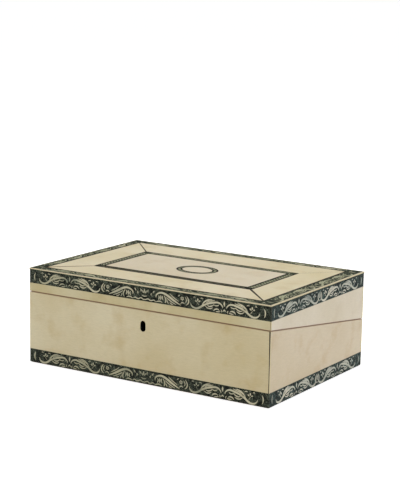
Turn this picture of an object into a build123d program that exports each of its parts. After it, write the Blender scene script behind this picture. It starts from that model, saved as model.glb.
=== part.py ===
from build123d import *
import math
import os

os.makedirs("parts", exist_ok=True)

# Overall sizes in millimetres, bottom centre of the box at the origin
half_w = 203.0
half_d = 136.0
height = 142.0
board = 10.0
veneer = 2.5
bottom_t = 8.0
foot_gap = 1.0
rebate = 5.0
seam_gap = 0.4
run_fit = 0.05

# Lid axis and the sloping seam, which becomes the writing slope
axis_y = half_d + 0.4
axis_z = height / 2
seam_front = height - 35.0
slope = (seam_front - axis_z) / (axis_y + half_d)
tilt = math.atan(slope)

# Engraved bands lie a little below the ivory so that the pale scrollwork ends flush
band_sink = 0.15
foot_band = 20.3
lid_band = 22.2
top_band = 17.0
top_band_right = 22.0
overhang = 0.4
inner_band = 12.0
frame_left = -half_w + 67.0
frame_right = half_w - 71.0
frame_front = -half_d + 66.5
frame_back = half_d - 70.5

core_x = half_w - veneer
core_y = half_d - veneer
in_x = core_x - board
in_y = core_y - board
lid_board_z = height - veneer - 7.5
veneer_z = height - veneer
foot_top = foot_gap + foot_band
lid_band_z = height - lid_band


def seam_z(y):
    return axis_z + (axis_y - y) * slope


def seam_point(v, w):
    y = axis_y + v * math.cos(tilt) + w * math.sin(tilt)
    z = axis_z - v * math.sin(tilt) + w * math.cos(tilt)
    return (y, z)


def seam_v(y):
    return (y - axis_y) / math.cos(tilt)


seam = Plane(origin=(0, axis_y, axis_z), x_dir=(1, 0, 0), z_dir=(0, math.sin(tilt), math.cos(tilt)))

# Butt hinges at the back
hinge_x = half_w - 83.0
leaf_half = 20.0
leaf_depth = 11.0
leaf_t = 1.2
leaf_sink = 0.1
knuckle_r = 2.75
knuckle_len = 8.0
knuckle_gap = 0.15
hinge_pin_r = 1.2
notch_r = knuckle_r + 0.65
screw_v = -7.5
screw_pitch = 12.0
screw_head_r = 2.2
screw_r = 1.1
screw_len = 9.0

# Box lock behind the keyhole, and its link plate on the lid
lock_x = -2.0
key_z = seam_front - 23.4
key_w = 8.8
key_h = 15.6
case_half = 22.0
case_wall = 1.2
case_bottom = key_z - 17.6
case_y0 = -in_y - 8.0
case_y1 = -in_y
plate_half = 32.0
plate_t = 1.5
eye_x = 9.0
eye_half = 0.8
eye_half_v = 1.8
eye_depth = 9.0
eye_hole_w = -6.2
eye_hole_r = 1.1
eye_v = seam_v(case_y0 + 4.55)
prong_half = 0.6
bolt_z = key_z + key_h / 2 + 0.4
bolt_h = 3.8
bolt_len = 32.0
bolt_w = 4.6
prong_len = 4.6
prong_gap = 0.4
post_w = 1.8
post_d = 2.4

# Fittings of the pen compartment
partition_y0 = -in_y + 57.5
partition_t = 8.0
partition_y1 = partition_y0 + partition_t
step_y = partition_y0 + 3.6
well_w = 47.5
divider_t = 8.0
divider_in = in_x - well_w - divider_t
tray_step = 3.6
tray_t = 20.0
tray_rim = 9.0
tray_play = 0.5
trough_r = 24.0
trough_lift = 10.0
tray_z1 = seam_front - 13.0
tray_z0 = tray_z1 - tray_t
till_t = 4.0
till_z1 = tray_z0 - 22.0
till_z0 = till_z1 - till_t
well_x = (divider_in + divider_t + in_x) / 2
well_y = (partition_y0 - in_y) / 2
bottle_half = 21.0
bottle_h = 32.0
neck_r = 11.0
neck_h = 6.0
cap_r = 13.5

# Writing flaps
flap_t = 6.0
flap_sink = 0.5
flap_gap = 0.8
flap_x = in_x - flap_gap
flap_axis_w = flap_sink + flap_t / 2
flap_axis_v = seam_v(in_y - 5.0)
base_flap_front = seam_v(step_y + 1.4)
lid_flap_front = seam_v(-in_y + flap_gap)
flap_border = 14.0
velvet_t = 0.6
flap_pin_r = 1.0
notch_finger_r = 9.0
flap_base_pin = seam_point(flap_axis_v, -flap_axis_w)
flap_lid_pin = seam_point(flap_axis_v, flap_axis_w)

# Base carcase
with BuildPart() as base_bottom:
    with BuildSketch(Plane.XY):
        Rectangle(2 * core_x, 2 * core_y)
    extrude(amount=bottom_t)
base_bottom.part.label = "base_bottom"
export_step(base_bottom.part, "parts/base_bottom.step")

with BuildPart() as base_front:
    with BuildSketch(Plane.YZ.offset(-core_x)):
        Polygon(
            (-core_y, bottom_t), (-in_y, bottom_t), (-in_y, seam_z(-in_y)), (-core_y, seam_z(-core_y))
        )
    extrude(amount=2 * core_x)
    with BuildSketch(Plane.XY.offset(bottom_t)):
        with Locations((-core_x + board / 2, -in_y - rebate / 2), (core_x - board / 2, -in_y - rebate / 2)):
            Rectangle(board, rebate)
    extrude(amount=height, mode=Mode.SUBTRACT)
    with BuildSketch(Plane.XY.offset(case_bottom)):
        with Locations((lock_x, (case_y0 + case_y1) / 2)):
            Rectangle(2 * case_half, case_y1 - case_y0)
    extrude(amount=height, mode=Mode.SUBTRACT)
    with BuildSketch(seam.offset(-plate_t - leaf_sink)):
        with Locations((lock_x, seam_v((case_y0 + case_y1) / 2))):
            Rectangle(2 * plate_half, case_y1 - case_y0)
    extrude(amount=2 * plate_t, mode=Mode.SUBTRACT)
    with BuildSketch(Plane.XZ.offset(in_y)):
        with Locations((lock_x, key_z)):
            SlotOverall(key_h, key_w, rotation=90)
    extrude(amount=board, mode=Mode.SUBTRACT)
base_front.part.label = "base_front"
export_step(base_front.part, "parts/base_front.step")

with BuildPart() as base_back:
    with BuildSketch(Plane.YZ.offset(-core_x)):
        Polygon((in_y, bottom_t), (core_y, bottom_t), (core_y, seam_z(core_y)), (in_y, seam_z(in_y)))
    extrude(amount=2 * core_x)
    with BuildSketch(Plane.XY.offset(bottom_t)):
        with Locations((-core_x + board / 2, in_y + rebate / 2), (core_x - board / 2, in_y + rebate / 2)):
            Rectangle(board, rebate)
    extrude(amount=height, mode=Mode.SUBTRACT)
    with BuildSketch(seam.offset(-leaf_t - leaf_sink)):
        with Locations((-hinge_x, -leaf_depth / 2), (hinge_x, -leaf_depth / 2)):
            Rectangle(2 * leaf_half, leaf_depth)
    extrude(amount=2 * leaf_t, mode=Mode.SUBTRACT)
    for x in (-hinge_x, hinge_x):
        with BuildSketch(Plane.YZ.offset(x - leaf_half)):
            with Locations((axis_y, axis_z)):
                Circle(notch_r)
        extrude(amount=2 * leaf_half, mode=Mode.SUBTRACT)
        for dx in (-screw_pitch, 0.0, screw_pitch):
            with BuildSketch(seam):
                with Locations((x + dx, screw_v)):
                    Circle(screw_r + run_fit)
            extrude(amount=-screw_len - 1, mode=Mode.SUBTRACT)
base_back.part.label = "base_back"
export_step(base_back.part, "parts/base_back.step")

for side, x0 in (("left", -core_x), ("right", in_x)):
    inner = 1 if side == "left" else -1
    end = in_y + rebate
    with BuildPart() as base_side:
        with BuildSketch(Plane.YZ.offset(x0)):
            Polygon((-end, bottom_t), (end, bottom_t), (end, seam_z(end)), (-end, seam_z(-end)))
        extrude(amount=board)
        with BuildSketch(Plane.YZ.offset(-inner * in_x)):
            with Locations(flap_base_pin):
                Circle(flap_pin_r + run_fit)
        extrude(amount=-inner * 5.5, mode=Mode.SUBTRACT)
    base_side.part.label = "base_" + side
    export_step(base_side.part, "parts/base_" + side + ".step")

# Lid carcase
with BuildPart() as lid_top:
    with BuildSketch(Plane.XY.offset(lid_board_z)):
        Rectangle(2 * core_x, 2 * core_y)
    extrude(amount=veneer_z - lid_board_z)
lid_top.part.label = "lid_top"
export_step(lid_top.part, "parts/lid_top.step")

with BuildPart() as lid_front:
    ledge_y = -in_y + 4.0
    ledge_lift = (flap_sink + flap_t + 0.1) / math.cos(tilt)
    ledge_root = (-in_y, seam_z(-in_y) + ledge_lift)
    ledge_foot = (ledge_y, seam_z(ledge_y) + ledge_lift)
    with BuildSketch(Plane.YZ.offset(-core_x)):
        Polygon(
            (-core_y, seam_z(-core_y)), (-in_y, seam_z(-in_y)), (-in_y, lid_board_z), (-core_y, lid_board_z)
        )
    extrude(amount=2 * core_x)
    with BuildSketch(Plane.YZ.offset(-in_x)):
        Polygon(ledge_root, ledge_foot, (ledge_y, lid_board_z), (-in_y, lid_board_z))
    extrude(amount=2 * in_x)
    with BuildSketch(Plane.XY.offset(axis_z)):
        with Locations((-core_x + board / 2, -in_y - rebate / 2), (core_x - board / 2, -in_y - rebate / 2)):
            Rectangle(board, rebate)
    extrude(amount=height, mode=Mode.SUBTRACT)
    with BuildSketch(seam.offset(plate_t + leaf_sink)):
        with Locations((lock_x, seam_v((case_y0 + case_y1) / 2))):
            Rectangle(2 * plate_half, case_y1 - case_y0)
    extrude(amount=-2 * plate_t, mode=Mode.SUBTRACT)
lid_front.part.label = "lid_front"
export_step(lid_front.part, "parts/lid_front.step")

with BuildPart() as lid_back:
    with BuildSketch(Plane.YZ.offset(-core_x)):
        Polygon(
            (in_y, seam_z(in_y)), (core_y, seam_z(core_y)), (core_y, lid_board_z), (in_y, lid_board_z)
        )
    extrude(amount=2 * core_x)
    with BuildSketch(Plane.XY.offset(axis_z)):
        with Locations((-core_x + board / 2, in_y + rebate / 2), (core_x - board / 2, in_y + rebate / 2)):
            Rectangle(board, rebate)
    extrude(amount=height, mode=Mode.SUBTRACT)
    with BuildSketch(seam.offset(leaf_t + leaf_sink)):
        with Locations((-hinge_x, -leaf_depth / 2), (hinge_x, -leaf_depth / 2)):
            Rectangle(2 * leaf_half, leaf_depth)
    extrude(amount=-2 * leaf_t, mode=Mode.SUBTRACT)
    for x in (-hinge_x, hinge_x):
        with BuildSketch(Plane.YZ.offset(x - leaf_half)):
            with Locations((axis_y, axis_z)):
                Circle(notch_r)
        extrude(amount=2 * leaf_half, mode=Mode.SUBTRACT)
        for dx in (-screw_pitch, 0.0, screw_pitch):
            with BuildSketch(seam):
                with Locations((x + dx, screw_v)):
                    Circle(screw_r + run_fit)
            extrude(amount=screw_len + 1, mode=Mode.SUBTRACT)
lid_back.part.label = "lid_back"
export_step(lid_back.part, "parts/lid_back.step")

for side, x0 in (("left", -core_x), ("right", in_x)):
    inner = 1 if side == "left" else -1
    end = in_y + rebate
    with BuildPart() as lid_side:
        with BuildSketch(Plane.YZ.offset(x0)):
            Polygon((-end, seam_z(-end)), (end, seam_z(end)), (end, lid_board_z), (-end, lid_board_z))
        extrude(amount=board)
        with BuildSketch(Plane.YZ.offset(-inner * in_x)):
            with Locations(flap_lid_pin):
                Circle(flap_pin_r + run_fit)
        extrude(amount=-inner * 5.5, mode=Mode.SUBTRACT)
    lid_side.part.label = "lid_" + side
    export_step(lid_side.part, "parts/lid_" + side + ".step")

# Ivory plaques of the base, ending just under the seam
with BuildPart() as base_plaque_front:
    low = seam_z(-core_y) - seam_gap
    with BuildSketch(Plane.YZ.offset(-half_w)):
        Polygon(
            (-half_d, foot_top), (-core_y, foot_top), (-core_y, low), (-half_d, seam_z(-half_d) - seam_gap)
        )
    extrude(amount=2 * half_w)
    with BuildSketch(Plane.XZ.offset(core_y)):
        with Locations((lock_x, key_z)):
            SlotOverall(key_h, key_w, rotation=90)
    extrude(amount=veneer, mode=Mode.SUBTRACT)
base_plaque_front.part.label = "base_plaque_front"
export_step(base_plaque_front.part, "parts/base_plaque_front.step")

with BuildPart() as base_plaque_back:
    low = seam_z(core_y) - seam_gap
    with BuildSketch(Plane.YZ.offset(-half_w)):
        Polygon(
            (core_y, foot_top), (half_d, foot_top), (half_d, seam_z(half_d) - seam_gap), (core_y, low)
        )
    extrude(amount=2 * half_w)
    for x in (-hinge_x, hinge_x):
        with BuildSketch(Plane.YZ.offset(x - leaf_half)):
            with Locations((axis_y, axis_z)):
                Circle(notch_r)
        extrude(amount=2 * leaf_half, mode=Mode.SUBTRACT)
base_plaque_back.part.label = "base_plaque_back"
export_step(base_plaque_back.part, "parts/base_plaque_back.step")

for side, x0 in (("left", -half_w), ("right", core_x)):
    with BuildPart() as base_plaque:
        low_front = seam_z(-core_y) - seam_gap
        low_back = seam_z(core_y) - seam_gap
        with BuildSketch(Plane.YZ.offset(x0)):
            Polygon((-core_y, foot_top), (core_y, foot_top), (core_y, low_back), (-core_y, low_front))
        extrude(amount=veneer)
    base_plaque.part.label = "base_plaque_" + side
    export_step(base_plaque.part, "parts/base_plaque_" + side + ".step")

# Ivory plaques of the lid, starting just over the seam
with BuildPart() as lid_plaque_front:
    high = seam_z(-core_y) + seam_gap
    with BuildSketch(Plane.YZ.offset(-half_w)):
        Polygon(
            (-half_d, seam_z(-half_d) + seam_gap),
            (-core_y, high),
            (-core_y, lid_band_z),
            (-half_d, lid_band_z),
        )
    extrude(amount=2 * half_w)
lid_plaque_front.part.label = "lid_plaque_front"
export_step(lid_plaque_front.part, "parts/lid_plaque_front.step")

with BuildPart() as lid_plaque_back:
    high = seam_z(core_y) + seam_gap
    with BuildSketch(Plane.YZ.offset(-half_w)):
        Polygon(
            (core_y, high), (half_d, seam_z(half_d) + seam_gap), (half_d, lid_band_z), (core_y, lid_band_z)
        )
    extrude(amount=2 * half_w)
    for x in (-hinge_x, hinge_x):
        with BuildSketch(Plane.YZ.offset(x - leaf_half)):
            with Locations((axis_y, axis_z)):
                Circle(notch_r)
        extrude(amount=2 * leaf_half, mode=Mode.SUBTRACT)
lid_plaque_back.part.label = "lid_plaque_back"
export_step(lid_plaque_back.part, "parts/lid_plaque_back.step")

for side, x0 in (("left", -half_w), ("right", core_x)):
    with BuildPart() as lid_plaque:
        high_front = seam_z(-core_y) + seam_gap
        high_back = seam_z(core_y) + seam_gap
        with BuildSketch(Plane.YZ.offset(x0)):
            Polygon((-core_y, high_front), (core_y, high_back), (core_y, lid_band_z), (-core_y, lid_band_z))
        extrude(amount=veneer)
    lid_plaque.part.label = "lid_plaque_" + side
    export_step(lid_plaque.part, "parts/lid_plaque_" + side + ".step")

# Engraved bands round the foot and round the lid
band_t = veneer - band_sink
for row, z0, z1 in (("foot", foot_gap, foot_top), ("lid", lid_band_z, veneer_z)):
    for side, y in (("front", -core_y - band_t / 2), ("back", core_y + band_t / 2)):
        with BuildPart() as long_band:
            with BuildSketch(Plane.XY.offset(z0)):
                with Locations((0, y)):
                    Rectangle(2 * (half_w - band_sink), band_t)
            extrude(amount=z1 - z0)
        long_band.part.label = row + "_band_" + side
        export_step(long_band.part, "parts/" + row + "_band_" + side + ".step")
    for side, x in (("left", -core_x - band_t / 2), ("right", core_x + band_t / 2)):
        with BuildPart() as short_band:
            with BuildSketch(Plane.XY.offset(z0)):
                with Locations((x, 0)):
                    Rectangle(band_t, 2 * core_y)
            extrude(amount=z1 - z0)
        short_band.part.label = row + "_band_" + side
        export_step(short_band.part, "parts/" + row + "_band_" + side + ".step")

# Top of the lid: mitred band, mitred border, inner band, centre panel and its oval
outer = ((-half_w - overhang, -axis_y), (half_w + overhang, -axis_y), (half_w + overhang, axis_y))
outer = outer + ((-half_w - overhang, axis_y),)
band_left = -half_w + top_band
band_right = half_w - top_band_right
band_y = half_d - top_band
middle = ((band_left, -band_y), (band_right, -band_y), (band_right, band_y), (band_left, band_y))
inner_ring = ((frame_left, frame_front), (frame_right, frame_front), (frame_right, frame_back))
inner_ring = inner_ring + ((frame_left, frame_back),)
sides = ("front", "right", "back", "left")
for i in range(4):
    j = (i + 1) % 4
    with BuildPart() as top_strip:
        with BuildSketch(Plane.XY.offset(veneer_z)):
            Polygon(outer[i], outer[j], middle[j], middle[i])
        extrude(amount=band_t)
    top_strip.part.label = "top_band_" + sides[i]
    export_step(top_strip.part, "parts/top_band_" + sides[i] + ".step")
    with BuildPart() as top_border:
        with BuildSketch(Plane.XY.offset(veneer_z)):
            Polygon(middle[i], middle[j], inner_ring[j], inner_ring[i])
        extrude(amount=veneer)
    top_border.part.label = "top_border_" + sides[i]
    export_step(top_border.part, "parts/top_border_" + sides[i] + ".step")

panel_x = (frame_left + frame_right) / 2
panel_y = (frame_front + frame_back) / 2
frame_w = frame_right - frame_left
frame_d = frame_back - frame_front
with BuildPart() as top_inner_band:
    with BuildSketch(Plane.XY.offset(veneer_z)):
        with Locations((panel_x, panel_y)):
            Rectangle(frame_w, frame_d)
            Rectangle(frame_w - 2 * inner_band, frame_d - 2 * inner_band, mode=Mode.SUBTRACT)
    extrude(amount=band_t)
top_inner_band.part.label = "top_inner_band"
export_step(top_inner_band.part, "parts/top_inner_band.step")

oval_x = 0.6
oval_y = -1.3
oval_a = 32.4
oval_b = 26.2
oval_ring = 8.8
oval_depth = 1.2
with BuildPart() as top_panel:
    with BuildSketch(Plane.XY.offset(veneer_z)):
        with Locations((panel_x, panel_y)):
            Rectangle(frame_w - 2 * inner_band, frame_d - 2 * inner_band)
    extrude(amount=veneer)
    with BuildSketch(Plane.XY.offset(height - oval_depth)):
        with Locations((oval_x, oval_y)):
            Ellipse(oval_a + run_fit, oval_b + run_fit)
            Ellipse(oval_a - oval_ring - run_fit, oval_b - oval_ring - run_fit, mode=Mode.SUBTRACT)
    extrude(amount=oval_depth, mode=Mode.SUBTRACT)
top_panel.part.label = "top_panel"
export_step(top_panel.part, "parts/top_panel.step")

with BuildPart() as top_oval:
    with BuildSketch(Plane.XY.offset(height - oval_depth)):
        with Locations((oval_x, oval_y)):
            Ellipse(oval_a, oval_b)
            Ellipse(oval_a - oval_ring, oval_b - oval_ring, mode=Mode.SUBTRACT)
    extrude(amount=oval_depth - band_sink)
top_oval.part.label = "top_oval"
export_step(top_oval.part, "parts/top_oval.step")

# Hinge leaves: three knuckles on the base leaf and two on the lid leaf
for name, lift, spots in (("base_hinge_leaves", -1, (-2, 0, 2)), ("lid_hinge_leaves", 1, (-1, 1))):
    with BuildPart() as leaves:
        for x in (-hinge_x, hinge_x):
            with BuildSketch(seam.offset(lift * leaf_sink)):
                with Locations((x, -(leaf_depth + notch_r) / 2)):
                    Rectangle(2 * leaf_half - 0.1, leaf_depth - notch_r)
            extrude(amount=lift * leaf_t)
            for spot in spots:
                knuckle_x = x + spot * knuckle_len
                with BuildSketch(seam.offset(lift * leaf_sink)):
                    with Locations((knuckle_x, -(notch_r + 0.2) / 2)):
                        Rectangle(knuckle_len - 2 * knuckle_gap, notch_r + 0.2)
                extrude(amount=lift * leaf_t)
                with BuildSketch(Plane.YZ.offset(knuckle_x - knuckle_len / 2 + knuckle_gap)):
                    with Locations((axis_y, axis_z)):
                        Circle(knuckle_r)
                extrude(amount=knuckle_len - 2 * knuckle_gap)
            with BuildSketch(Plane.YZ.offset(x - leaf_half - 1)):
                with Locations((axis_y, axis_z)):
                    Circle(hinge_pin_r + run_fit)
            extrude(amount=2 * leaf_half + 2, mode=Mode.SUBTRACT)
            for dx in (-screw_pitch, 0.0, screw_pitch):
                with BuildSketch(seam.offset(lift * leaf_sink)):
                    with Locations((x + dx, screw_v)):
                        Circle(screw_head_r + run_fit)
                extrude(amount=lift * leaf_t, taper=40, mode=Mode.SUBTRACT)
                with BuildSketch(seam):
                    with Locations((x + dx, screw_v)):
                        Circle(screw_r + run_fit)
                extrude(amount=lift * 3, mode=Mode.SUBTRACT)
    leaves.part.label = name
    export_step(leaves.part, "parts/" + name + ".step")

with BuildPart() as hinge_pins:
    for x in (-hinge_x, hinge_x):
        with BuildSketch(Plane.YZ.offset(x - leaf_half + 0.2)):
            with Locations((axis_y, axis_z)):
                Circle(hinge_pin_r)
        extrude(amount=2 * leaf_half - 0.4)
hinge_pins.part.label = "hinge_pins"
export_step(hinge_pins.part, "parts/hinge_pins.step")

for name, lift in (("base_hinge_screws", -1), ("lid_hinge_screws", 1)):
    with BuildPart() as screws:
        for x in (-hinge_x, hinge_x):
            for dx in (-screw_pitch, 0.0, screw_pitch):
                with BuildSketch(seam.offset(lift * leaf_sink)):
                    with Locations((x + dx, screw_v)):
                        Circle(screw_head_r)
                extrude(amount=lift * leaf_t, taper=40)
                with BuildSketch(seam.offset(lift * leaf_sink)):
                    with Locations((x + dx, screw_v)):
                        Circle(screw_r)
                extrude(amount=lift * (screw_len - leaf_sink))
    screws.part.label = name
    export_step(screws.part, "parts/" + name + ".step")

# Lock: case under a plate let into the top edge of the base, with a key pin inside
with BuildPart() as lock_case:
    top_in = seam_z(case_y1) - plate_t - leaf_sink
    top_out = seam_z(case_y0) - plate_t - leaf_sink
    with BuildSketch(Plane.YZ.offset(lock_x - case_half)):
        Polygon((case_y0, case_bottom), (case_y1, case_bottom), (case_y1, top_in), (case_y0, top_out))
    extrude(amount=2 * case_half)
    with BuildSketch(Plane.YZ.offset(lock_x - case_half + case_wall)):
        Polygon(
            (case_y0 + case_wall, case_bottom + case_wall),
            (case_y1 - case_wall, case_bottom + case_wall),
            (case_y1 - case_wall, top_in),
            (case_y0 + case_wall, top_out),
        )
    extrude(amount=2 * (case_half - case_wall), mode=Mode.SUBTRACT)
    with BuildSketch(seam.offset(-plate_t - leaf_sink)):
        with Locations((lock_x, seam_v((case_y0 + case_y1) / 2))):
            Rectangle(2 * plate_half, case_y1 - case_y0)
    extrude(amount=plate_t)
    with BuildSketch(seam):
        with Locations((lock_x - eye_x, eye_v), (lock_x + eye_x, eye_v)):
            Rectangle(2 * eye_half + 1.0, 2 * eye_half_v + 1.0)
    extrude(amount=-plate_t - 2.0, mode=Mode.SUBTRACT)
    with BuildSketch(Plane.XZ.offset(-case_y0 - case_wall)):
        with Locations((lock_x, key_z)):
            SlotOverall(key_h, key_w, rotation=90)
    extrude(amount=case_wall, mode=Mode.SUBTRACT)
    with BuildSketch(Plane.XZ.offset(-case_y1)):
        with Locations((lock_x, key_z + key_h / 2 - key_w / 2)):
            Circle(1.1)
    extrude(amount=case_y1 - case_y0 - 1.5)
lock_case.part.label = "lock_case"
export_step(lock_case.part, "parts/lock_case.step")

prong_at = seam_point(eye_v, eye_hole_w)
with BuildPart() as lock_bolt:
    with BuildSketch(Plane.XY.offset(bolt_z)):
        with Locations((lock_x - 3.0, (case_y0 + case_y1) / 2)):
            Rectangle(bolt_len, bolt_w)
    extrude(amount=bolt_h)
    for x in (lock_x - eye_x, lock_x + eye_x):
        tip = x - eye_half - prong_gap
        root = tip - prong_len
        with BuildSketch(Plane.XY.offset(bolt_z + bolt_h)):
            with Locations((root - post_w / 2, prong_at[0])):
                Rectangle(post_w, post_d)
        extrude(amount=prong_at[1] + prong_half - bolt_z - bolt_h)
        with BuildSketch(Plane.YZ.offset(root)):
            with Locations(prong_at):
                Rectangle(2 * prong_half, 2 * prong_half)
        extrude(amount=tip - root)
lock_bolt.part.label = "lock_bolt"
export_step(lock_bolt.part, "parts/lock_bolt.step")

with BuildPart() as link_plate:
    with BuildSketch(seam.offset(leaf_sink)):
        with Locations((lock_x, seam_v((case_y0 + case_y1) / 2))):
            Rectangle(2 * plate_half, case_y1 - case_y0)
    extrude(amount=plate_t)
    with BuildSketch(seam.offset(leaf_sink)):
        with Locations((lock_x - eye_x, eye_v), (lock_x + eye_x, eye_v)):
            Rectangle(2 * eye_half, 2 * eye_half_v)
    extrude(amount=-eye_depth - leaf_sink)
    with BuildSketch(Plane.YZ.offset(lock_x - plate_half)):
        with Locations(prong_at):
            Circle(eye_hole_r)
    extrude(amount=2 * plate_half, mode=Mode.SUBTRACT)
link_plate.part.label = "link_plate"
export_step(link_plate.part, "parts/link_plate.step")

# Pen compartment along the high side of the base
with BuildPart() as partition:
    high0 = seam_z(partition_y0) - 0.8
    high1 = seam_z(step_y) - 0.8
    step0 = seam_z(step_y) - (flap_sink + flap_t + 0.1) / math.cos(tilt)
    step1 = seam_z(partition_y1) - (flap_sink + flap_t + 0.1) / math.cos(tilt)
    with BuildSketch(Plane.YZ.offset(-in_x)):
        Polygon(
            (partition_y0, bottom_t),
            (partition_y1, bottom_t),
            (partition_y1, step1),
            (step_y, step0),
            (step_y, high1),
            (partition_y0, high0),
        )
    extrude(amount=2 * in_x)
partition.part.label = "partition"
export_step(partition.part, "parts/partition.step")

with BuildPart() as till_floor:
    with BuildSketch(Plane.XY.offset(till_z0)):
        with Locations((0, (partition_y0 - in_y) / 2)):
            Rectangle(2 * in_x, partition_y0 + in_y)
    extrude(amount=till_z1 - till_z0)
till_floor.part.label = "till_floor"
export_step(till_floor.part, "parts/till_floor.step")

for side, way in (("left", -1), ("right", 1)):
    with BuildPart() as divider:
        with BuildSketch(Plane.YZ.offset(way * divider_in)):
            Polygon(
                (-in_y, till_z1),
                (partition_y0, till_z1),
                (partition_y0, seam_z(partition_y0) - 1.0),
                (-in_y, seam_z(-in_y) - 1.0),
            )
        extrude(amount=way * divider_t)
        with BuildSketch(Plane.XY.offset(tray_z0)):
            with Locations((way * (divider_in + 2.0), (partition_y0 - in_y) / 2)):
                Rectangle(4.0, partition_y0 + in_y)
        extrude(amount=height, mode=Mode.SUBTRACT)
    divider.part.label = "divider_" + side
    export_step(divider.part, "parts/divider_" + side + ".step")

    with BuildPart() as bottle:
        with BuildSketch(Plane.XY.offset(till_z1)):
            with Locations((way * well_x, well_y)):
                Rectangle(2 * bottle_half, 2 * bottle_half)
        extrude(amount=bottle_h)
        fillet(bottle.edges().filter_by(Axis.Z), radius=3.0)
        with BuildSketch(Plane.XY.offset(till_z1 + bottle_h)):
            with Locations((way * well_x, well_y)):
                Circle(neck_r)
        extrude(amount=neck_h)
        with BuildSketch(Plane.XY.offset(till_z1 + 4.0)):
            with Locations((way * well_x, well_y)):
                RectangleRounded(2 * bottle_half - 7.0, 2 * bottle_half - 7.0, 3.0)
        extrude(amount=bottle_h - 7.0, mode=Mode.SUBTRACT)
        with BuildSketch(Plane.XY.offset(till_z1 + bottle_h - 4.0)):
            with Locations((way * well_x, well_y)):
                Circle(neck_r - 3.0)
        extrude(amount=20.0, mode=Mode.SUBTRACT)
    bottle.part.label = "ink_bottle_" + side
    export_step(bottle.part, "parts/ink_bottle_" + side + ".step")

    with BuildPart() as cap:
        with BuildSketch(Plane.XY.offset(till_z1 + bottle_h + 0.5)):
            with Locations((way * well_x, well_y)):
                Circle(cap_r)
        extrude(amount=neck_h + 3.5)
        with BuildSketch(Plane.XY.offset(till_z1 + bottle_h)):
            with Locations((way * well_x, well_y)):
                Circle(neck_r + 0.3)
        extrude(amount=neck_h, mode=Mode.SUBTRACT)
    cap.part.label = "bottle_cap_" + side
    export_step(cap.part, "parts/bottle_cap_" + side + ".step")

with BuildPart() as pen_tray:
    tray_half = divider_in + tray_step
    with BuildSketch(Plane.XY.offset(tray_z0)):
        with Locations((0, (partition_y0 - in_y) / 2)):
            Rectangle(2 * tray_half, partition_y0 + in_y - 2 * tray_play)
    extrude(amount=tray_z1 - tray_z0)
    with BuildSketch(Plane.YZ.offset(-tray_half + tray_rim)):
        with Locations((well_y, tray_z1 + trough_lift)):
            Circle(trough_r)
    extrude(amount=2 * (tray_half - tray_rim), mode=Mode.SUBTRACT)
pen_tray.part.label = "pen_tray"
export_step(pen_tray.part, "parts/pen_tray.step")

# Writing flaps: board with a bullnose about its pins, and a velvet panel let in
for name, lift, front in (("base", -1, base_flap_front), ("lid", 1, lid_flap_front)):
    centre = seam_point(flap_axis_v, lift * flap_axis_w)
    face = lift * flap_sink
    back = lift * (flap_sink + flap_t)
    panel_len = flap_axis_v - 8.0 - (front + flap_border)
    panel_mid = front + flap_border + panel_len / 2
    with BuildPart() as flap:
        with BuildSketch(Plane.YZ.offset(-flap_x)):
            Polygon(
                seam_point(front, face),
                seam_point(flap_axis_v, face),
                seam_point(flap_axis_v, back),
                seam_point(front, back),
            )
            with Locations(centre):
                Circle(flap_t / 2)
        extrude(amount=2 * flap_x)
        with BuildSketch(seam.offset(face)):
            with Locations((0, panel_mid)):
                Rectangle(2 * (flap_x - flap_border), panel_len)
        extrude(amount=lift * velvet_t, mode=Mode.SUBTRACT)
        with BuildSketch(seam.offset(face)):
            with Locations((0, front)):
                Circle(notch_finger_r)
        extrude(amount=lift * flap_t, mode=Mode.SUBTRACT)
        for x0, run in ((-flap_x, 8.0), (flap_x, -8.0)):
            with BuildSketch(Plane.YZ.offset(x0)):
                with Locations(centre):
                    Circle(flap_pin_r + run_fit)
            extrude(amount=run, mode=Mode.SUBTRACT)
    flap.part.label = name + "_flap"
    export_step(flap.part, "parts/" + name + "_flap.step")

    with BuildPart() as velvet:
        with BuildSketch(seam.offset(face)):
            with Locations((0, panel_mid)):
                Rectangle(2 * (flap_x - flap_border), panel_len)
        extrude(amount=lift * velvet_t)
    velvet.part.label = name + "_velvet"
    export_step(velvet.part, "parts/" + name + "_velvet.step")

    with BuildPart() as pins:
        for x0, run in ((-flap_x + 7.9, -13.1), (flap_x - 7.9, 13.1)):
            with BuildSketch(Plane.YZ.offset(x0)):
                with Locations(centre):
                    Circle(flap_pin_r)
            extrude(amount=run)
    pins.part.label = name + "_flap_pins"
    export_step(pins.part, "parts/" + name + "_flap_pins.step")
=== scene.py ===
import bpy
import bmesh
import math
from mathutils import Euler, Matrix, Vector


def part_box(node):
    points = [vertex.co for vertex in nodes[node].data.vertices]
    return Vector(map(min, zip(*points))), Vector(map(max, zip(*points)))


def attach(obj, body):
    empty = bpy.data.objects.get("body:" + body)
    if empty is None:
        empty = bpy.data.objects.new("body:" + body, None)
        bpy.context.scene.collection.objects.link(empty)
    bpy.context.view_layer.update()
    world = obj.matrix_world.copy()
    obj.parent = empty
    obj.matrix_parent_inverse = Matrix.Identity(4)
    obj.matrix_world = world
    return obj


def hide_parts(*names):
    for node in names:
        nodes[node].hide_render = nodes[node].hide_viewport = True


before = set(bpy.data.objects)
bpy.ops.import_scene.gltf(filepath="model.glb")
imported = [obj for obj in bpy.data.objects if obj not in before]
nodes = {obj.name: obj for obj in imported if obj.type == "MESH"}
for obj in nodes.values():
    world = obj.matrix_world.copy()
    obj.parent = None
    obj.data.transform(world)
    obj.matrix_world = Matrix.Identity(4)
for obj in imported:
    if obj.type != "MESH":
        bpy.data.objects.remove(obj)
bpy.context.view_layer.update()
mm = 0.001
seam = {"rise": 36, "run": 272.4, "backY": 136.4, "backZ": 71}  # mm; the seam between base and lid
tilt = math.atan(seam["rise"] / seam["run"])
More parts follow.
